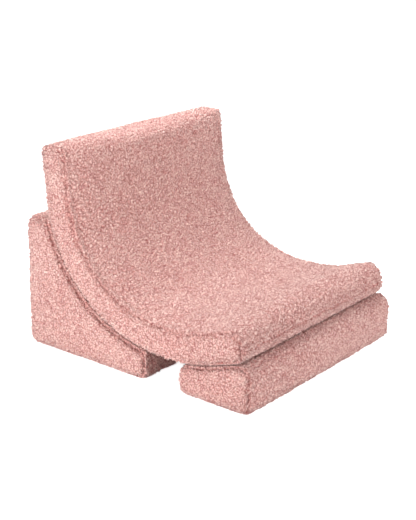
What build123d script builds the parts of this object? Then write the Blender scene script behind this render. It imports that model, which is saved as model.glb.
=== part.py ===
"""Moon chair: a child's foam lounge chair of three loose modules, each in a sewn teddy cover.

Units are millimetres. +Z is up, the chair faces -Y, and its left side is +X.
The origin lies on the floor, under the middle of the chair's outer box.

The seat is one thick slab of foam, bent to a smooth curve. A wedge with a hollowed
face carries its back, and a low block carries its front. Nothing fastens the three.
"""
import os
from math import acos, asin, cos, degrees, radians, sin

from build123d import *

# Outer size
chair_width = 500.0
chair_depth = 556.0
panel_crown = 2.5
crown_flat = 0.4

# Bent seat slab, given on its centre line from the front end to the top end
seat_thickness = 66.0
seat_floor_height = 59.0
seat_lowest_y = -81.0
front_run = 77.5
front_rise_angle = 18.0
belly_radius = 330.0
belly_angle = 17.5
back_radius = 248.5
back_angle = 84.0
back_run = 105.0
nose_lower_radius = 25.0
nose_upper_radius = 29.0
top_front_radius = 18.0
top_rear_radius = 17.0
seat_crown = 3.0

# Rear wedge
wedge_front_y = -34.0
wedge_top_height = 271.0
wedge_top_rise = 6.0
wedge_back_radius = 27.0
wedge_base_radius = 18.0
wedge_tip_radius = 11.0
wedge_lip_radius = 8.0

# Front block
block_rear_y = -112.0
block_rear_top_radius = 29.0
block_rear_base_radius = 20.0
block_front_top_radius = 25.0
block_front_base_radius = 18.0

# Rounding of every module towards its two sides
side_roll = 16.0
seat_side_dome = 24.0
wedge_side_dome = 22.0
block_side_dome = 18.0
roll_fullness = 2.5
side_seam_inset = 5.5
roll_steps = (1.0, 0.72, 0.5)
cap_steps = (1.0, 0.6, 0.3, 0.1, 0.0)
seam_valley = 1.5
valley_width = 3.0
soft_radius = 12.0
corner_share = 0.42
dome_share = 0.36

# Sewn covers over foam
cover_thickness = 4.0
foam_clearance = 0.3
module_clearance = 0.3
base_seam_height = 7.0
corner_seam_inset = 8.0
nose_seam_share = 0.33
top_seam_inset = 12.0

# Zips
zip_side_gap = 50.0
zip_pitch = 5.0
zip_tooth_height = 2.4
zip_row_gap = 0.35
zip_row_half_width = 3.4
zip_row_thickness = 2.0
tape_half_width = 11.0
tape_thickness = 0.8
tape_end = 6.0
slot_half_width = 7.0
slot_end = 2.0
pocket_reach = 12.0
stop_length = 3.0
stop_width = 5.6
stop_height = 2.6
seat_zip_drop = 48.0
wedge_zip_height = 52.0
block_zip_height = 26.0
block_zip_sink = 1.2

# Zip slider and its pull
slider_length = 14.0
slider_wall = 1.0
slider_clearance = 0.3
slider_corner = 0.9
bail_length = 8.6
bail_width = 2.4
bail_wall = 1.0
bail_opening = 2.2
bail_corner = 0.8
pull_length = 24.0
pull_width = 6.6
pull_thickness = 1.1
pull_heel = 0.7
pull_window_clearance = 0.5
pull_corner = 2.0
pull_hole_radius = 1.3

os.makedirs("parts", exist_ok=True)

half_width = chair_width / 2
half_depth = chair_depth / 2
half_thickness = seat_thickness / 2
flat_half = half_width - side_roll
seam_x = half_width - side_seam_inset
roll_distances = [share * side_roll for share in roll_steps] + [side_seam_inset]
cap_distances = [share * side_seam_inset for share in cap_steps]
zip_length = chair_width - 2 * zip_side_gap
slot_half_length = zip_length / 2 + stop_length + slot_end
tape_half_length = slot_half_length + tape_end
slider_place = (zip_length - slider_length) / 2 - slider_clearance

# Centres of the slab's two bends, as (y, z)
belly_centre = (seat_lowest_y, seat_floor_height + half_thickness + belly_radius)
back_centre = (
    belly_centre[0] + (belly_radius - back_radius) * sin(radians(belly_angle)),
    belly_centre[1] - (belly_radius - back_radius) * cos(radians(belly_angle)),
)


def on_bend(centre, radius, heading):
    """Point of a bend where the slab climbs at this heading, in degrees from level."""
    turn = radians(heading)
    return (centre[0] + radius * sin(turn), centre[1] - radius * cos(turn))


def along(point, heading, distance):
    """Point reached from another by going straight at this heading."""
    turn = radians(heading)
    return (point[0] + distance * cos(turn), point[1] + distance * sin(turn))


def bend(centre, radius, first_heading, last_heading):
    """Arc of the slab's path between two headings."""
    CenterArc(centre, radius, first_heading - 90, last_heading - first_heading)


def round_corners(sketch, inset, corners):
    """Round a face's corners, given as triples of place, radius and the width of its end there.

    An inset makes a radius smaller, down to a soft one, and no radius outgrows its end.
    """
    for place, radius, end_width in corners:
        corner = sketch.vertices().sort_by_distance(Vector(*place, 0))[0]
        softened = max(radius - inset, min(radius, soft_radius))
        fillet(corner, min(softened, corner_share * end_width))


def slab_front(offset, run):
    """Front end of the slab's path, at an offset towards the sitter."""
    start = on_bend(belly_centre, belly_radius - offset, -front_rise_angle)
    return along(start, -front_rise_angle, -run)


def slab_top(offset, run):
    """Top end of the slab's path, at an offset towards the sitter."""
    end = on_bend(back_centre, back_radius - offset, back_angle)
    return along(end, back_angle, run)


def draw_slab_face(offset, first_run, last_run):
    """Line of one face of the slab, from its front end up to its top end."""
    belly = belly_radius - offset
    curve = back_radius - offset
    Line(slab_front(offset, first_run), on_bend(belly_centre, belly, -front_rise_angle))
    bend(belly_centre, belly, -front_rise_angle, belly_angle)
    bend(back_centre, curve, belly_angle, back_angle)
    Line(on_bend(back_centre, curve, back_angle), slab_top(offset, last_run))


def seat_outline(plane, inset, crown=0.0):
    """Side view of the bent slab, drawn in by an inset and swollen on its sitting face."""
    under = inset - half_thickness
    sitting = half_thickness - inset + crown
    first = front_run - inset
    last = back_run - inset
    end_width = sitting - under
    with BuildSketch(plane) as outline:
        with BuildLine():
            draw_slab_face(under, first, last)
            draw_slab_face(sitting, first, last)
            Line(slab_front(under, first), slab_front(sitting, first))
            Line(slab_top(under, last), slab_top(sitting, last))
        make_face()
        round_corners(
            outline,
            inset,
            (
                (slab_front(under, first), nose_lower_radius, end_width),
                (slab_front(sitting, first), nose_upper_radius, end_width),
                (slab_top(under, last), top_rear_radius, end_width),
                (slab_top(sitting, last), top_front_radius, end_width),
            ),
        )
    return outline.sketch


def wedge_lip(inset):
    """Heading of the wedge's hollow at its upper edge, and the place of that edge."""
    curve = back_radius + half_thickness + module_clearance + inset
    heading = degrees(acos((back_centre[1] - wedge_top_height + inset) / curve))
    return heading, on_bend(back_centre, curve, heading)


def wedge_outline(plane, inset, crown=0.0):
    """Side view of the rear wedge: base, front edge, hollowed face, top and upright back."""
    base = inset
    front = wedge_front_y + inset
    back = half_depth - inset + crown
    drop = half_thickness + module_clearance + inset
    belly = belly_radius + drop
    curve = back_radius + drop
    first = degrees(asin((front - belly_centre[0]) / belly))
    last, lip = wedge_lip(inset)
    tip = on_bend(belly_centre, belly, first)
    crest = (back, lip[1] + wedge_top_rise)
    front_width = tip[1] - base
    top_width = back - lip[0]
    with BuildSketch(plane) as outline:
        with BuildLine():
            Line((front, base), tip)
            bend(belly_centre, belly, first, belly_angle)
            bend(back_centre, curve, belly_angle, last)
            Line(lip, crest)
            Line(crest, (back, base))
            Line((back, base), (front, base))
        make_face()
        round_corners(
            outline,
            inset,
            (
                ((front, base), wedge_base_radius, front_width),
                (tip, wedge_tip_radius, front_width),
                (lip, wedge_lip_radius, top_width),
                (crest, wedge_back_radius, top_width),
                ((back, base), wedge_base_radius, top_width),
            ),
        )
    return outline.sketch


def block_outline(plane, inset, crown=0.0):
    """Side view of the front block, whose top follows the underside of the slab."""
    base = inset
    front = -half_depth + inset - crown
    rear = block_rear_y - inset
    belly = belly_radius + half_thickness + module_clearance + inset
    first = degrees(asin((rear - belly_centre[0]) / belly))
    rear_top = on_bend(belly_centre, belly, first)
    rise = -front_rise_angle
    start = on_bend(belly_centre, belly, rise)
    front_top = along(start, rise, (front - start[0]) / cos(radians(rise)))
    with BuildSketch(plane) as outline:
        with BuildLine():
            Line((front, base), front_top)
            Line(front_top, start)
            bend(belly_centre, belly, rise, first)
            Line(rear_top, (rear, base))
            Line((rear, base), (front, base))
        make_face()
        round_corners(
            outline,
            inset,
            (
                ((front, base), block_front_base_radius, front_top[1] - base),
                (front_top, block_front_top_radius, front_top[1] - base),
                (rear_top, block_rear_top_radius, rear_top[1] - base),
                ((rear, base), block_rear_base_radius, rear_top[1] - base),
            ),
        )
    return outline.sketch


def roll_inset(distance, reach, dome):
    """How far the outline draws in at a distance from the side: a full, rounded edge."""
    share = max(0.0, 1 - distance / reach)
    return dome * (1 - (1 - share**roll_fullness) ** (1 / roll_fullness))


def valley(distance):
    """Extra draw of the stitching at a distance from the side."""
    away = abs(distance - side_seam_inset) / valley_width
    return seam_valley * max(0.0, 1 - away) ** 2


def cover_station(distance, dome):
    """Place along X and inset of the cover's outside, at a distance from the side."""
    inset = roll_inset(distance, side_roll, dome) + valley(distance)
    return (half_width - distance, inset, 0.0)


def pillow(outline, stations):
    """Loft an outline through stations, each a place along X, an inset and a crown."""
    sections = [outline(Plane.YZ.offset(place), inset, crown) for place, inset, crown in stations]
    with BuildPart() as body:
        loft(sections=sections, ruled=True)
    return body.part


def both_sides(part):
    """A piece of the right half and its mirror image."""
    with BuildPart() as pair:
        add(part)
        mirror(about=Plane.YZ)
    return pair.part


def filling(outline, dome, inset, side_gap=0.0):
    """Closed block an even inset inside the band of a cover, ending short of its side seams."""
    side = seam_x - side_gap
    drawn = inset + roll_inset(side_seam_inset, side_roll, dome) + seam_valley
    with BuildPart() as block:
        extrude(outline(Plane.YZ, inset), amount=flat_half, both=True)
        add(both_sides(pillow(outline, ((flat_half, inset, 0.0), (side, drawn, 0.0)))))
    return block.part


def cover(outline, dome, crown):
    """Sewn cover of one module, as its middle band and its left side panel."""
    crowned = ((-1.0, 0.0), (-crown_flat, crown), (crown_flat, crown), (1.0, 0.0))
    middle = [(share * flat_half, 0.0, height) for share, height in crowned]
    rolled = [cover_station(distance, dome) for distance in roll_distances]
    capped = [cover_station(distance, dome) for distance in cap_distances]
    with BuildPart() as band:
        add(pillow(outline, middle))
        add(both_sides(pillow(outline, rolled)))
        add(filling(outline, dome, cover_thickness), mode=Mode.SUBTRACT)
    return band.part, pillow(outline, capped)


def zone(y_low, y_high, z_low, z_high):
    """Block over the chair's whole width that parts one panel of a cover from the next."""
    with BuildPart() as block:
        with Locations((-half_width, y_low, z_low)):
            Box(chair_width, y_high - y_low, z_high - z_low, align=Align.MIN)
    return block.part


def underside_zone():
    """Block round the slab's lower face, up to the seams on its nose and behind its top."""
    outside = -half_thickness - seat_thickness
    seam = nose_seam_share * seat_thickness - half_thickness
    first = front_run + seat_thickness
    last = back_run - top_seam_inset
    with BuildPart() as block:
        with BuildSketch(Plane.YZ):
            with BuildLine():
                draw_slab_face(outside, first, last)
                draw_slab_face(seam, first, last)
                Line(slab_front(outside, first), slab_front(seam, first))
                Line(slab_top(outside, last), slab_top(seam, last))
            make_face()
        extrude(amount=half_width, both=True)
    return block.part


def save(part, name):
    """Write one piece under its name."""
    part.label = name
    export_step(part, f"parts/{name}.step")


def make_foam(module, outline, dome, zip_plane):
    """Foam block of a module, with a shallow pocket for the zip's tapes."""
    inset = cover_thickness + foam_clearance
    with BuildPart() as foam:
        add(filling(outline, dome, inset, foam_clearance))
        with Locations(zip_plane.offset(-tape_thickness - foam_clearance)):
            Box(
                2 * (tape_half_length + foam_clearance),
                2 * (tape_half_width + foam_clearance),
                pocket_reach,
                align=(Align.CENTER, Align.CENTER, Align.MIN),
                mode=Mode.SUBTRACT,
            )
    save(foam.part, f"{module}_foam")


def make_side_panels(module, side):
    """Left and right side panels of a module's cover."""
    save(side, f"{module}_side_left")
    save(mirror(side, about=Plane.YZ), f"{module}_side_right")


def make_panel(name, band, inside=(), outside=(), zip_plane=None):
    """Panel cut from the band of a cover, with a slot where it carries the zip."""
    with BuildPart() as panel:
        add(band)
        for block in inside:
            add(block, mode=Mode.INTERSECT)
        for block in outside:
            add(block, mode=Mode.SUBTRACT)
        if zip_plane is not None:
            with Locations(zip_plane):
                Box(
                    2 * slot_half_length,
                    2 * slot_half_width,
                    2 * pocket_reach,
                    mode=Mode.SUBTRACT,
                )
    save(panel.part, name)


def make_zip_tapes(module, plane):
    """Pair of woven tapes that the zip's rows are sewn to."""
    width = tape_half_width - zip_row_gap / 2
    with BuildPart() as tapes:
        for side in (-1, 1):
            with Locations(plane * Pos(0, side * (tape_half_width - width / 2), -tape_thickness / 2)):
                Box(2 * tape_half_length, width, tape_thickness)
    save(tapes.part, f"{module}_zip_tapes")


def make_zip_row(name, plane, side):
    """One row of the zip: a strip whose teeth mesh with those of the other row."""
    half_length = zip_length / 2
    count = round(zip_length / zip_pitch) * 2
    step = zip_length / count
    teeth = []
    for index in range(count + 1):
        lean = zip_tooth_height / 2 if index % 2 else -zip_tooth_height / 2
        teeth.append((-half_length + index * step, lean + side * zip_row_gap / 2))
    edge = side * zip_row_half_width
    with BuildPart() as row:
        with BuildSketch(plane):
            with BuildLine():
                Polyline(*teeth, (half_length, edge), (-half_length, edge), close=True)
            make_face()
        extrude(amount=zip_row_thickness)
    save(row.part, name)


def make_zip_stops(module, plane):
    """Stops that end the slider's run at both ends of the rows."""
    place = (zip_length + stop_length) / 2 + slider_clearance
    with BuildPart() as stops:
        for side in (-1, 1):
            with Locations(plane * Pos(side * place, 0, stop_height / 2)):
                Box(stop_length, stop_width, stop_height)
    save(stops.part, f"{module}_zip_stops")


def make_zip_slider(module, plane):
    """Slider that straddles both rows, with a bail on its back for the pull."""
    roof = zip_row_thickness + slider_clearance
    half_channel = zip_row_half_width + slider_clearance
    width = 2 * (half_channel + slider_wall)
    bail_height = bail_opening + bail_wall
    with BuildPart() as slider:
        with BuildSketch(plane.offset(slider_clearance) * Pos(slider_place, 0, 0)):
            Rectangle(slider_length, width)
        extrude(amount=roof + slider_wall - slider_clearance)
        upright = slider.edges().filter_by(Axis(plane.origin, plane.z_dir))
        chamfer(upright, slider_corner)
        with BuildSketch(plane.offset(slider_clearance) * Pos(slider_place, 0, 0)):
            Rectangle(slider_length, 2 * half_channel)
        extrude(amount=roof - slider_clearance, mode=Mode.SUBTRACT)
        with Locations(plane * Pos(slider_place, 0, roof + slider_wall)):
            Box(bail_length, bail_width, bail_height, align=(Align.CENTER, Align.CENTER, Align.MIN))
            Box(
                bail_length - 2 * bail_wall,
                bail_width,
                bail_opening,
                align=(Align.CENTER, Align.CENTER, Align.MIN),
                mode=Mode.SUBTRACT,
            )
        across = slider.edges().filter_by(Axis(plane.origin, plane.y_dir))
        fillet(across.group_by(Axis(plane.origin, plane.z_dir))[-1], bail_corner)
    save(slider.part, f"{module}_zip_slider")


def make_zip_pull(module, plane):
    """Flat pull that hangs in the slider's bail and swings on it."""
    axis_height = zip_row_thickness + slider_clearance + slider_wall + bail_opening / 2
    window_end = bail_length / 2 + pull_window_clearance
    window_width = bail_width + 2 * pull_window_clearance
    below = plane.offset(axis_height - pull_thickness / 2)
    with BuildPart() as pull:
        with BuildSketch(below * Pos(slider_place, 0, 0)) as tab:
            with Locations((pull_heel - (pull_heel + pull_length) / 2, 0)):
                Rectangle(pull_heel + pull_length, pull_width)
            chamfer(tab.vertices().group_by(Axis.X)[0], pull_corner)
            with Locations((-(pull_heel + window_end) / 2, 0)):
                Rectangle(window_end - pull_heel, window_width, mode=Mode.SUBTRACT)
            with Locations((-pull_length + pull_width / 2, 0)):
                Circle(pull_hole_radius, mode=Mode.SUBTRACT)
        extrude(amount=pull_thickness)
    save(pull.part, f"{module}_zip_pull")


def make_zip(module, plane):
    """Zip of a cover: tapes, meshing rows, stops, slider and pull."""
    make_zip_tapes(module, plane)
    make_zip_row(f"{module}_zip_upper_row", plane, -1)
    make_zip_row(f"{module}_zip_lower_row", plane, 1)
    make_zip_stops(module, plane)
    make_zip_slider(module, plane)
    make_zip_pull(module, plane)


# Seat: a bent slab whose sitting panel wraps over its nose and its top
seat_zip_place = slab_top(cover_thickness - half_thickness, back_run - seat_zip_drop)
seat_zip_plane = Plane(
    origin=(0, *seat_zip_place),
    x_dir=(1, 0, 0),
    z_dir=(0, sin(radians(back_angle)), -cos(radians(back_angle))),
)
make_foam("seat", seat_outline, seat_side_dome, seat_zip_plane)
band, side = cover(seat_outline, seat_side_dome, seat_crown)
underside = underside_zone()
make_panel("seat_sitting_panel", band, outside=(underside,))
make_panel("seat_under_panel", band, inside=(underside,), zip_plane=seat_zip_plane)
make_side_panels("seat", side)
make_zip("seat", seat_zip_plane)

# Rear wedge: base, upright back, and one panel over its edge, hollow and top
wedge_zip_plane = Plane(
    origin=(0, half_depth - cover_thickness, wedge_zip_height), x_dir=(1, 0, 0), z_dir=(0, 1, 0)
)
wedge_dome = min(wedge_side_dome, dome_share * (half_depth - wedge_lip(0.0)[1][0]))
make_foam("wedge", wedge_outline, wedge_dome, wedge_zip_plane)
band, side = cover(wedge_outline, wedge_dome, panel_crown)
base = zone(-chair_depth, chair_depth, -base_seam_height, base_seam_height)
back = zone(half_depth - corner_seam_inset, chair_depth, base_seam_height, chair_depth)
make_panel("wedge_cradle_panel", band, outside=(base, back))
make_panel("wedge_back_panel", band, inside=(back,), zip_plane=wedge_zip_plane)
make_panel("wedge_base_panel", band, inside=(base,))
make_side_panels("wedge", side)
make_zip("wedge", wedge_zip_plane)

# Front block: base, rounded rear end, and one panel over its top and front
block_zip_plane = Plane(
    origin=(0, block_rear_y - cover_thickness - block_zip_sink, block_zip_height),
    x_dir=(1, 0, 0),
    z_dir=(0, 1, 0),
)
make_foam("block", block_outline, block_side_dome, block_zip_plane)
band, side = cover(block_outline, block_side_dome, panel_crown)
rear = zone(block_rear_y - corner_seam_inset, chair_depth, base_seam_height, chair_depth)
make_panel("block_top_panel", band, outside=(base, rear))
make_panel("block_rear_panel", band, inside=(rear,), zip_plane=block_zip_plane)
make_panel("block_base_panel", band, inside=(base,))
make_side_panels("block", side)
make_zip("block", block_zip_plane)
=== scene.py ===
"""Moon chair: three foam modules in curly teddy covers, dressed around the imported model.

Lengths are metres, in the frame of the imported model: +Z up, the chair faces -Y.
"""

import math

import bmesh
import bpy
import numpy as np
from mathutils import Matrix, Vector, noise
from mathutils.bvhtree import BVHTree
from mathutils.kdtree import KDTree


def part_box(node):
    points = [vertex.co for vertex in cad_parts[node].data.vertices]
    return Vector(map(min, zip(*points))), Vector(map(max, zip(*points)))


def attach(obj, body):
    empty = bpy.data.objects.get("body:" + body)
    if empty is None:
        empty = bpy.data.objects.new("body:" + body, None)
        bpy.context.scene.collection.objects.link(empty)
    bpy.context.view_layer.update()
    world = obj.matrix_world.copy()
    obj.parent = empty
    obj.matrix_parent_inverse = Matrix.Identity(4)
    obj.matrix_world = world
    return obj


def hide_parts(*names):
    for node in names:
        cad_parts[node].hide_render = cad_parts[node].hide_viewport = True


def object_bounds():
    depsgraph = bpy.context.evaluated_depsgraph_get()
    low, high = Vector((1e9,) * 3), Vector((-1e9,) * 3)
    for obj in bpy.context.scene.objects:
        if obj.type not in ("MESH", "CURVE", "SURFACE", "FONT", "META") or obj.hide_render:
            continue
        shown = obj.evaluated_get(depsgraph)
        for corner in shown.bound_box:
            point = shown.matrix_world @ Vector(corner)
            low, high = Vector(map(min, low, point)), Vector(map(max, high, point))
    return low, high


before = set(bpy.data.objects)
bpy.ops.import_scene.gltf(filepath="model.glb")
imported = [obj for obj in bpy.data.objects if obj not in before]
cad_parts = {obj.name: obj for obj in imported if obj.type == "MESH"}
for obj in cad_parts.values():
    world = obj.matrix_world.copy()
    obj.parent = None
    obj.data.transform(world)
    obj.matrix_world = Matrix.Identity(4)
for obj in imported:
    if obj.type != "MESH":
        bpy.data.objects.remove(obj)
cad_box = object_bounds()

# Covers: mesh and simulation
VOXEL = 0.004
CLOTH_VOXEL = 0.006
SHRINK = 0.0003
SWELL_CAP = 0.004
CLOTH_PRESSURE = 4.0
CLOTH_QUALITY = 4
CLOTH_MASS = 0.4
CLOTH_STIFFNESS = 12
CLOTH_BENDING = 2
CLOTH_FRAMES = 20
SEAM_HOLD = 0.006
CARRY_POINTS = 4
CARRY_NEAREST = 1e-5
STILL = 1e-9

# Contact with the floor, the other modules and the zips
CONTACT_NEAR = 0.002
CONTACT_FAR = 0.007
CONTACT_OPEN = 0.99 * CONTACT_FAR
FLOOR_CLEAR = 0.0004
GAP_SHARE = 0.4
ZIP_MARGIN = np.array((0.018, 0.005, 0.005))

# Curls of the pile
CURL_SIZE = 0.0056
CURL_HEIGHT = 0.003
CURL_WANDER = 0.55
CURL_WANDER_SCALE = 0.7
CURL_EDGE = 0.02
CURL_TOP = 0.55
CURL_LEVEL = 0.45
WAVE_SIZE = 0.075
WAVE_HEIGHT = 0.0009

# Seams
SEAM_REACH = 0.014
SEAM_INNER = 0.2
SEAM_GAIN = 0.7
SEAM_RISE = 0.0013
SEAM_STRETCH = 0.42
SEAM_DEPTH = 0.0034
SEAM_WIDTH = 0.0022
# Painted shade along the sewn lines: how much the seam valley darkens the colour
SEAM_SHADE = 1.0
STITCH_GAP = 0.006
STITCH_LOW = -0.35
STITCH_HIGH = 0.25
STITCH_LEAST = 0.4
EDGE_START = 0.024
EDGE_END = 0.012
CROWN_FADE = 0.85

# Pile in the material
FINE_CURL = 0.0052
FINE_HEIGHT = 0.0024
CURL_BEND = 0.005
BEND_SCALE = 170
CREVICE = 0.16
STRAND_SCALE = 640
STRAND_SHARE = 0.35
PATCH_SCALE = 14
# Tone of the teddy colour: the curl relief and the pile height give painted shade in the crevices and
# painted highlight on the curl tips; the patches vary at random
RELIEF_TONE = 0.42
PILE_TONE = 0.42
PATCH_TONE = 0.16
# Ramp colours: painted shade in the crevices, the pink between, painted highlight on the curl tips
TEDDY_CREVICE_SHADE = (0.33, 0.07, 0.062, 1)
TEDDY_MIDDLE = (0.63, 0.272, 0.24, 1)
TEDDY_TIP_HIGHLIGHT = (0.83, 0.56, 0.505, 1)

MODULES = {
    "seat": ("seat_sitting_panel", "seat_under_panel", "seat_side_left", "seat_side_right"),
    "wedge": (
        "wedge_cradle_panel",
        "wedge_back_panel",
        "wedge_base_panel",
        "wedge_side_left",
        "wedge_side_right",
    ),
    "block": (
        "block_top_panel",
        "block_rear_panel",
        "block_base_panel",
        "block_side_left",
        "block_side_right",
    ),
}


# Mesh tools


def smoothstep(low, high, values):
    """0 below low, 1 above high, and a smooth rise between."""
    share = np.clip((values - low) / (high - low), 0, 1)
    return share * share * (3 - 2 * share)


def points_of(mesh):
    """Vertex places as an array."""
    places = np.zeros(len(mesh.vertices) * 3, np.float32)
    mesh.vertices.foreach_get("co", places)
    return places.reshape(-1, 3).astype(float)


def normals_of(mesh):
    """Vertex normals as an array."""
    normals = np.zeros(len(mesh.vertices) * 3, np.float32)
    mesh.vertex_normals.foreach_get("vector", normals)
    return normals.reshape(-1, 3).astype(float)


def move_points(mesh, places):
    """Write vertex places back."""
    mesh.vertices.foreach_set("co", places.astype(np.float32).ravel())
    mesh.update()


def set_value(mesh, name, values):
    """Store one number per vertex."""
    attribute = mesh.attributes.get(name) or mesh.attributes.new(name, "FLOAT", "POINT")
    attribute.data.foreach_set("value", values.astype(np.float32))


def get_value(mesh, name):
    """Read one number per vertex."""
    values = np.zeros(len(mesh.vertices), np.float32)
    mesh.attributes[name].data.foreach_get("value", values)
    return values.astype(float)


def apply_modifiers(piece):
    """Replace a piece's mesh by what its modifiers make of it."""
    graph = bpy.context.evaluated_depsgraph_get()
    graph.update()
    mesh = bpy.data.meshes.new_from_object(piece.evaluated_get(graph))
    piece.modifiers.clear()
    piece.data = mesh
    return mesh


def joined(name, nodes):
    """New piece whose mesh joins the solids of several CAD nodes."""
    shell = bmesh.new()
    for node in nodes:
        shell.from_mesh(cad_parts[node].data)
    mesh = bpy.data.meshes.new(name)
    shell.to_mesh(mesh)
    shell.free()
    piece = bpy.data.objects.new(name, mesh)
    bpy.context.scene.collection.objects.link(piece)
    return piece


def keep_largest(mesh):
    """Delete all but the largest connected shell."""
    shell = bmesh.new()
    shell.from_mesh(mesh)
    shell.verts.ensure_lookup_table()
    label = [-1] * len(shell.verts)
    groups = []
    for start in shell.verts:
        if label[start.index] >= 0:
            continue
        label[start.index] = len(groups)
        group = [start]
        for vertex in group:
            for edge in vertex.link_edges:
                other = edge.other_vert(vertex)
                if label[other.index] < 0:
                    label[other.index] = len(groups)
                    group.append(other)
        groups.append(group)
    groups.sort(key=len)
    for group in groups[:-1]:
        bmesh.ops.delete(shell, geom=group, context="VERTS")
    shell.to_mesh(mesh)
    shell.free()


def tree_of(node):
    """Search tree over one CAD node's faces."""
    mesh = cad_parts[node].data
    return BVHTree.FromPolygons(
        [vertex.co for vertex in mesh.vertices], [face.vertices for face in mesh.polygons]
    )


def distances(tree, places, reach):
    """Distance of each place to a tree, up to a reach."""
    found = np.full(len(places), reach)
    for index, place in enumerate(places):
        hit = tree.find_nearest(Vector(place), reach)
        if hit[0] is not None:
            found[index] = hit[3]
    return found


# Teddy covers


def seam_distances(places, trees, reach):
    """Distance of each place to the nearest panel that isn't its own, up to a reach."""
    near = np.stack([distances(tree, places, reach) for tree in trees])
    near.sort(axis=0)
    return near[1]


def remesh(piece, size):
    """One closed shell of even squares over everything in the piece."""
    modifier = piece.modifiers.new("voxels", "REMESH")
    modifier.mode = "VOXEL"
    modifier.voxel_size = size
    mesh = apply_modifiers(piece)
    keep_largest(mesh)
    return mesh


def free_gap(module, places):
    """Free space over each place, up to a reach; none along the zip, where the pull runs."""
    gap = np.clip(places[:, 2], 0, CONTACT_FAR)
    others = [panel for name, panels in MODULES.items() if name != module for panel in panels]
    for panel in others:
        low, high = (np.array(corner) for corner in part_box(panel))
        around = np.all((places > low - CONTACT_FAR) & (places < high + CONTACT_FAR), axis=1)
        rows = np.nonzero(around)[0]
        gap[rows] = np.minimum(gap[rows], distances(tree_of(panel), places[rows], CONTACT_FAR))
    low, high = (np.array(corner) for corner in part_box(f"{module}_zip_tapes"))
    gap[np.all((places > low - ZIP_MARGIN) & (places < high + ZIP_MARGIN), axis=1)] = 0
    return gap


def contact_share(gap):
    """How firmly a place is pressed on by its neighbour, 0 to 1."""
    return 1 - smoothstep(CONTACT_NEAR, CONTACT_FAR, gap)


def swell(piece, hold):
    """Places before and after the fabric swells over its foam, held where the weights say."""
    before = points_of(piece.data)
    group = piece.vertex_groups.new(name="hold")
    for index, weight in enumerate(hold):
        group.add([index], float(weight), "REPLACE")
    settings = piece.modifiers.new("swell", "CLOTH").settings
    settings.quality = CLOTH_QUALITY
    settings.mass = CLOTH_MASS
    settings.use_pressure = True
    settings.uniform_pressure_force = CLOTH_PRESSURE
    settings.tension_stiffness = CLOTH_STIFFNESS
    settings.compression_stiffness = CLOTH_STIFFNESS
    settings.bending_stiffness = CLOTH_BENDING
    settings.vertex_group_mass = "hold"
    settings.effector_weights.gravity = 0
    for number in range(1, CLOTH_FRAMES + 1):
        bpy.context.scene.frame_set(number)
    apply_modifiers(piece)
    bpy.context.scene.frame_set(1)
    shift = points_of(piece.data) - before
    length = np.linalg.norm(shift, axis=1, keepdims=True)
    return before, shift * np.minimum(1, SWELL_CAP / np.maximum(length, STILL))


def carry(places, known, shifts):
    """Move places as the known points nearest to them moved."""
    tree = KDTree(len(known))
    for index, point in enumerate(known):
        tree.insert(point, index)
    tree.balance()
    moved = places.copy()
    for row, place in enumerate(places):
        near = tree.find_n(place, CARRY_POINTS)
        weights = np.array([1 / (distance + CARRY_NEAREST) for point, index, distance in near])
        moved[row] += weights @ shifts[[index for point, index, distance in near]] / weights.sum()
    return moved


def subdivide(piece):
    """One level of smooth subdivision."""
    modifier = piece.modifiers.new("smooth", "SUBSURF")
    modifier.levels = 1
    modifier.render_levels = 1
    return apply_modifiers(piece)


def curl_pattern(places, near_seam, at_side):
    """Height of the curly pile, from 0 in a crevice to 1 on a curl; drawn into tufts across a seam."""
    heights = np.zeros(len(places))
    stretch_x = 1 - (1 - SEAM_STRETCH) * at_side
    stretch_yz = 1 - (1 - SEAM_STRETCH) * (near_seam - at_side)
    for index, (x, y, z) in enumerate(places / CURL_SIZE):
        cell = Vector((x * stretch_x[index], y * stretch_yz[index], z * stretch_yz[index]))
        wander = noise.noise_vector(cell * CURL_WANDER_SCALE) * CURL_WANDER
        near = noise.voronoi(cell + wander)[0]
        heights[index] = near[1] - near[0]
    return smoothstep(CURL_EDGE, CURL_TOP, heights)


def smooth_noise(places, size):
    """Noise from -1 to 1 whose bumps have this size."""
    return np.array([noise.noise(Vector(place) / size) for place in places])


def seam_valley(places, seam):
    """Depth of the sewn line at each place, from 0 to 1: dotted, and faint at the top corners."""
    dots = smoothstep(STITCH_LOW, STITCH_HIGH, smooth_noise(places, STITCH_GAP))
    top = cad_box[1][2]
    crown = smoothstep(top - EDGE_START, top - EDGE_END, places[:, 2])
    dotted = STITCH_LEAST + (1 - STITCH_LEAST) * dots
    return np.exp(-((seam / SEAM_WIDTH) ** 2)) * dotted * (1 - CROWN_FADE * crown)


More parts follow.
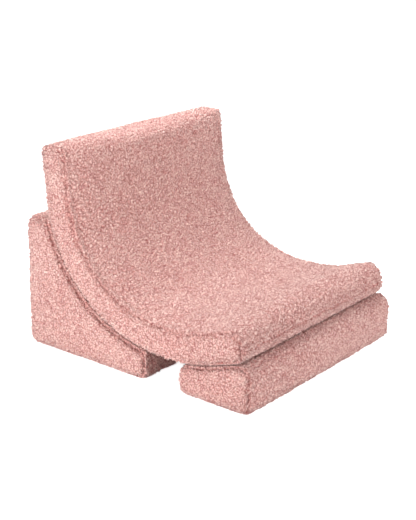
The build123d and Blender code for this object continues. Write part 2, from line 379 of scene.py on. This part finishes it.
def add_pile(piece, trees):
    """Raise the curls of the pile and sink the seams."""
    mesh = piece.data
    places = points_of(mesh)
    normals = normals_of(mesh)
    gap = get_value(mesh, "gap")
    seam_far = get_value(mesh, "seam_far")
    seam = seam_far.copy()
    close = np.nonzero(seam_far < 2 * SEAM_WIDTH + VOXEL)[0]
    seam[close] = seam_distances(places[close], trees, SEAM_REACH)
    near_seam = 1 - smoothstep(SEAM_INNER * SEAM_REACH, SEAM_REACH, seam)
    half_width = max(abs(cad_box[0][0]), abs(cad_box[1][0]))
    across = np.abs(places[:, 0])
    at_side = near_seam * smoothstep(half_width - EDGE_START, half_width - EDGE_END, across)
    pile = curl_pattern(places, near_seam, at_side)
    valley = seam_valley(places, seam)
    height = CURL_HEIGHT * (1 + SEAM_GAIN * near_seam) * (pile - CURL_LEVEL)
    height += WAVE_HEIGHT * smooth_noise(places, WAVE_SIZE)
    height += SEAM_RISE * near_seam * (1 - valley) - SEAM_DEPTH * valley
    limit = np.where(gap < CONTACT_OPEN, GAP_SHARE * gap, np.inf)
    places += normals * np.minimum(height, limit)[:, None]
    places[:, 2] = np.maximum(places[:, 2], FLOOR_CLEAR)
    move_points(mesh, places)
    # Colour mask for the teddy: the curl height, darkened as painted shade along the sewn lines
    set_value(mesh, "pile", pile * (1 - SEAM_SHADE * valley))


def swollen(module, panels, trees, places):
    """Places of a module's cover after its fabric has swelled over the foam."""
    stand_in = joined(f"{module}_fabric", (*panels, f"{module}_foam"))
    coarse = points_of(remesh(stand_in, CLOTH_VOXEL))
    seam = seam_distances(coarse, trees, SEAM_HOLD)
    sewn = 1 - smoothstep(0.5 * SEAM_HOLD, SEAM_HOLD, seam)
    hold = np.maximum(contact_share(free_gap(module, coarse)), sewn)
    known, shifts = swell(stand_in, hold)
    bpy.data.objects.remove(stand_in)
    return carry(places, known, shifts)


def make_cover(module, panels, material):
    """Teddy cover of one module over its foam."""
    piece = joined(f"{module}_cover", (*panels, f"{module}_foam"))
    mesh = remesh(piece, VOXEL)
    trees = [tree_of(panel) for panel in panels]
    places = points_of(mesh)
    gap = free_gap(module, places)
    set_value(mesh, "gap", gap)
    set_value(mesh, "seam_far", seam_distances(places, trees, SEAM_REACH))
    places -= normals_of(mesh) * (SHRINK * (1 - contact_share(gap)))[:, None]
    places = swollen(module, panels, trees, places)
    move_points(mesh, places)
    subdivide(piece)
    add_pile(piece, trees)
    piece.data.shade_smooth()
    piece.data.materials.clear()
    piece.data.materials.append(material)
    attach(piece, module)
    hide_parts(f"{module}_foam", *panels)


# Materials


def new_material(name):
    """Empty node material with its shader, and its node and link lists."""
    material = bpy.data.materials.new(name)
    material.use_nodes = True
    tree = material.node_tree
    return material, tree.nodes, tree.links, tree.nodes["Principled BSDF"]


def math_node(nodes, links, operation, *values):
    """Math node whose inputs are numbers or other nodes' outputs."""
    node = nodes.new("ShaderNodeMath")
    node.operation = operation
    for socket, value in zip(node.inputs, values):
        if isinstance(value, (int, float)):
            socket.default_value = value
        else:
            links.new(value, socket)
    return node.outputs["Value"]


def texture(nodes, links, kind, vector, **settings):
    """Texture node over a vector, with its numbers by socket name."""
    node = nodes.new(kind)
    for name, value in settings.items():
        node.inputs[name].default_value = value
    links.new(vector, node.inputs["Vector"])
    return node


def teddy_material():
    """Curly pink teddy with a pale fuzz: painted shade in the crevices and painted highlight on the
    curl tips, over random patches of tone.
    """
    material, nodes, links, shader = new_material("teddy")
    shader.inputs["Roughness"].default_value = 0.95
    shader.inputs["Specular IOR Level"].default_value = 0.1
    shader.inputs["Sheen Weight"].default_value = 0.4
    shader.inputs["Sheen Roughness"].default_value = 0.55
    shader.inputs["Sheen Tint"].default_value = (1.0, 0.93, 0.91, 1)
    place = nodes.new("ShaderNodeTexCoord").outputs["Object"]
    bend = texture(nodes, links, "ShaderNodeTexNoise", place, Scale=BEND_SCALE, Detail=1)
    warp = nodes.new("ShaderNodeVectorMath")
    warp.operation = "MULTIPLY_ADD"
    warp.inputs[1].default_value = (CURL_BEND, CURL_BEND, CURL_BEND)
    links.new(bend.outputs["Color"], warp.inputs[0])
    links.new(place, warp.inputs[2])
    curls = texture(
        nodes, links, "ShaderNodeTexVoronoi", warp.outputs["Vector"], Scale=1 / FINE_CURL
    )
    curls.feature = "DISTANCE_TO_EDGE"
    strand = texture(
        nodes, links, "ShaderNodeTexNoise", place, Scale=STRAND_SCALE, Detail=2, Distortion=1.5
    )
    ridge = nodes.new("ShaderNodeMapRange")
    ridge.interpolation_type = "SMOOTHSTEP"
    ridge.inputs["From Max"].default_value = CREVICE
    links.new(curls.outputs["Distance"], ridge.inputs["Value"])
    relief = math_node(
        nodes, links, "MULTIPLY_ADD", strand.outputs["Fac"], STRAND_SHARE, ridge.outputs["Result"]
    )
    pile = nodes.new("ShaderNodeAttribute")
    pile.attribute_name = "pile"
    patch = texture(nodes, links, "ShaderNodeTexNoise", place, Scale=PATCH_SCALE, Detail=2)
    # Painted shade in the crevices and painted highlight on the curl tips, from the fine relief and
    # the pile height, plus random patches
    shade_highlight_and_tone = math_node(nodes, links, "MULTIPLY", relief, RELIEF_TONE)
    shade_highlight_and_tone = math_node(nodes, links, "MULTIPLY_ADD", pile.outputs["Fac"], PILE_TONE, shade_highlight_and_tone)
    shade_highlight_and_tone = math_node(nodes, links, "MULTIPLY_ADD", patch.outputs["Fac"], PATCH_TONE, shade_highlight_and_tone)
    ramp = nodes.new("ShaderNodeValToRGB")
    ramp.color_ramp.elements[0].position = 0.18
    ramp.color_ramp.elements[0].color = TEDDY_CREVICE_SHADE
    ramp.color_ramp.elements[1].position = 0.85
    ramp.color_ramp.elements[1].color = TEDDY_TIP_HIGHLIGHT
    ramp.color_ramp.elements.new(0.5).color = TEDDY_MIDDLE
    links.new(shade_highlight_and_tone, ramp.inputs["Fac"])
    links.new(ramp.outputs["Color"], shader.inputs["Base Color"])
    bump = nodes.new("ShaderNodeBump")
    bump.inputs["Strength"].default_value = 0.8
    bump.inputs["Distance"].default_value = FINE_HEIGHT
    links.new(relief, bump.inputs["Height"])
    links.new(bump.outputs["Normal"], shader.inputs["Normal"])
    return material


def tape_material():
    """Flat woven zip tape in a dusky pink."""
    material, nodes, links, shader = new_material("zip_tape")
    shader.inputs["Roughness"].default_value = 0.8
    shader.inputs["Sheen Weight"].default_value = 0.15
    place = nodes.new("ShaderNodeTexCoord")
    weave = nodes.new("ShaderNodeTexWave")
    weave.wave_type = "BANDS"
    weave.bands_direction = "X"
    weave.inputs["Scale"].default_value = 420
    weave.inputs["Distortion"].default_value = 0.6
    links.new(place.outputs["Object"], weave.inputs["Vector"])
    ramp = nodes.new("ShaderNodeValToRGB")
    ramp.color_ramp.elements[0].color = (0.33, 0.12, 0.11, 1)
    ramp.color_ramp.elements[1].color = (0.55, 0.26, 0.235, 1)
    links.new(weave.outputs["Fac"], ramp.inputs["Fac"])
    links.new(ramp.outputs["Color"], shader.inputs["Base Color"])
    bump = nodes.new("ShaderNodeBump")
    bump.inputs["Strength"].default_value = 0.5
    bump.inputs["Distance"].default_value = 0.0002
    links.new(weave.outputs["Fac"], bump.inputs["Height"])
    links.new(bump.outputs["Normal"], shader.inputs["Normal"])
    return material


def hard_material(name, dark, light, roughness, metallic, grain):
    """Moulded or painted zip part with faint grain and wear."""
    material, nodes, links, shader = new_material(name)
    shader.inputs["Metallic"].default_value = metallic
    place = nodes.new("ShaderNodeTexCoord")
    speckle = nodes.new("ShaderNodeTexNoise")
    speckle.inputs["Scale"].default_value = grain
    speckle.inputs["Detail"].default_value = 4
    links.new(place.outputs["Object"], speckle.inputs["Vector"])
    ramp = nodes.new("ShaderNodeValToRGB")
    ramp.color_ramp.elements[0].position = 0.3
    ramp.color_ramp.elements[0].color = (*dark, 1)
    ramp.color_ramp.elements[1].position = 0.7
    ramp.color_ramp.elements[1].color = (*light, 1)
    links.new(speckle.outputs["Fac"], ramp.inputs["Fac"])
    links.new(ramp.outputs["Color"], shader.inputs["Base Color"])
    span = nodes.new("ShaderNodeMapRange")
    span.inputs["To Min"].default_value = roughness - 0.08
    span.inputs["To Max"].default_value = roughness + 0.12
    links.new(speckle.outputs["Fac"], span.inputs["Value"])
    links.new(span.outputs["Result"], shader.inputs["Roughness"])
    bump = nodes.new("ShaderNodeBump")
    bump.inputs["Strength"].default_value = 0.25
    bump.inputs["Distance"].default_value = 0.00008
    links.new(speckle.outputs["Fac"], bump.inputs["Height"])
    links.new(bump.outputs["Normal"], shader.inputs["Normal"])
    return material


def dress(node, material):
    """Give a CAD node its finish."""
    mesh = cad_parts[node].data
    mesh.materials.clear()
    mesh.materials.append(material)


def dress_zips():
    """Tapes, rows, stops, sliders and pulls of the three zips."""
    tape = tape_material()
    teeth = hard_material("zip_teeth", (0.42, 0.18, 0.16), (0.55, 0.26, 0.235), 0.42, 0.0, 900)
    metal = hard_material("zip_metal", (0.47, 0.2, 0.18), (0.6, 0.29, 0.26), 0.32, 0.35, 700)
    for module in MODULES:
        dress(f"{module}_zip_tapes", tape)
        dress(f"{module}_zip_upper_row", teeth)
        dress(f"{module}_zip_lower_row", teeth)
        for part in ("stops", "slider", "pull"):
            dress(f"{module}_zip_{part}", metal)


# Camera, floor and light

CAMERA_PLACE = (-1.7952, -1.3762, 0.9501)
CAMERA_TURN = math.radians(-52.31)
CAMERA_HEIGHT = math.radians(18.96)
CAMERA_ROLL = math.radians(0.85)
CAMERA_LENS = 81.74
CAMERA_SENSOR = 36
FLOOR_RADIUS = 12
FLOOR_WHITE = 0.9
FLOOR_BOUNCE = 0.14
SUN_ANGLE = math.radians(35)


def make_camera():
    """Camera at the photograph's angle."""
    back = Vector(
        (
            math.sin(CAMERA_TURN) * math.cos(CAMERA_HEIGHT),
            -math.cos(CAMERA_TURN) * math.cos(CAMERA_HEIGHT),
            math.sin(CAMERA_HEIGHT),
        )
    )
    level = Vector((0, 0, 1)).cross(back).normalized()
    upright = back.cross(level)
    right = level * math.cos(CAMERA_ROLL) + upright * math.sin(CAMERA_ROLL)
    up = upright * math.cos(CAMERA_ROLL) - level * math.sin(CAMERA_ROLL)
    data = bpy.data.cameras.new("camera")
    data.lens = CAMERA_LENS
    data.sensor_width = CAMERA_SENSOR
    camera = bpy.data.objects.new("camera", data)
    turn = Matrix((right, up, back)).transposed().to_4x4()
    camera.matrix_world = Matrix.Translation(CAMERA_PLACE) @ turn
    bpy.context.scene.collection.objects.link(camera)
    bpy.context.scene.camera = camera


def make_floor():
    """Plain pale floor, white to the camera and dimmer to the light that it throws back."""
    material, nodes, links, shader = new_material("floor")
    shader.inputs["Base Color"].default_value = (0.82, 0.82, 0.82, 1)
    shader.inputs["Roughness"].default_value = 0.9
    shader.inputs["Emission Color"].default_value = (1, 1, 1, 1)
    seen = nodes.new("ShaderNodeLightPath").outputs["Is Camera Ray"]
    glow = math_node(nodes, links, "MULTIPLY_ADD", seen, FLOOR_WHITE - FLOOR_BOUNCE, FLOOR_BOUNCE)
    links.new(glow, shader.inputs["Emission Strength"])
    shell = bmesh.new()
    bmesh.ops.create_circle(shell, cap_ends=True, radius=FLOOR_RADIUS, segments=96)
    mesh = bpy.data.meshes.new("floor")
    shell.to_mesh(mesh)
    shell.free()
    mesh.materials.append(material)
    floor = bpy.data.objects.new("floor", mesh)
    bpy.context.scene.collection.objects.link(floor)


def aim(lamp, place, target):
    """Put a lamp in the scene, looking from its place at a target."""
    turn = (Vector(target) - Vector(place)).to_track_quat("-Z", "Y")
    lamp.matrix_world = Matrix.Translation(place) @ turn.to_matrix().to_4x4()
    lamp.visible_camera = False
    bpy.context.scene.collection.objects.link(lamp)


def make_light(name, place, target, size, power):
    """Soft square lamp that looks at a target."""
    data = bpy.data.lights.new(name, "AREA")
    data.shape = "SQUARE"
    data.size = size
    data.energy = power
    aim(bpy.data.objects.new(name, data), place, target)


def make_sun(name, place, strength):
    """Broad overhead light that falls from a direction."""
    data = bpy.data.lights.new(name, "SUN")
    data.energy = strength
    data.angle = SUN_ANGLE
    aim(bpy.data.objects.new(name, data), place, (0, 0, 0))


def make_studio():
    """White surroundings, two lamps overhead, one in front and a low one on the chair's right."""
    world = bpy.data.worlds.new("studio")
    world.use_nodes = True
    world.node_tree.nodes["Background"].inputs["Color"].default_value = (1, 1, 1, 1)
    world.node_tree.nodes["Background"].inputs["Strength"].default_value = 0.3
    bpy.context.scene.world = world
    make_light("side", (-1.1, 0.0, 0.3), (-0.25, 0, 0.12), size=0.6, power=8.6)
    make_light("front", (0.3, -2.2, 1.0), (0, 0, 0.2), size=1.0, power=37)
    make_light("top", (0, 0.35, 1.3), (0, 0.1, 0.2), size=0.8, power=15.7)
    make_sun("overhead", (0, 0.6, 1), strength=0.77)
    bpy.context.scene.view_settings.view_transform = "Standard"


make_camera()
make_floor()
make_studio()
teddy = teddy_material()
for module, panels in MODULES.items():
    make_cover(module, panels, teddy)
dress_zips()
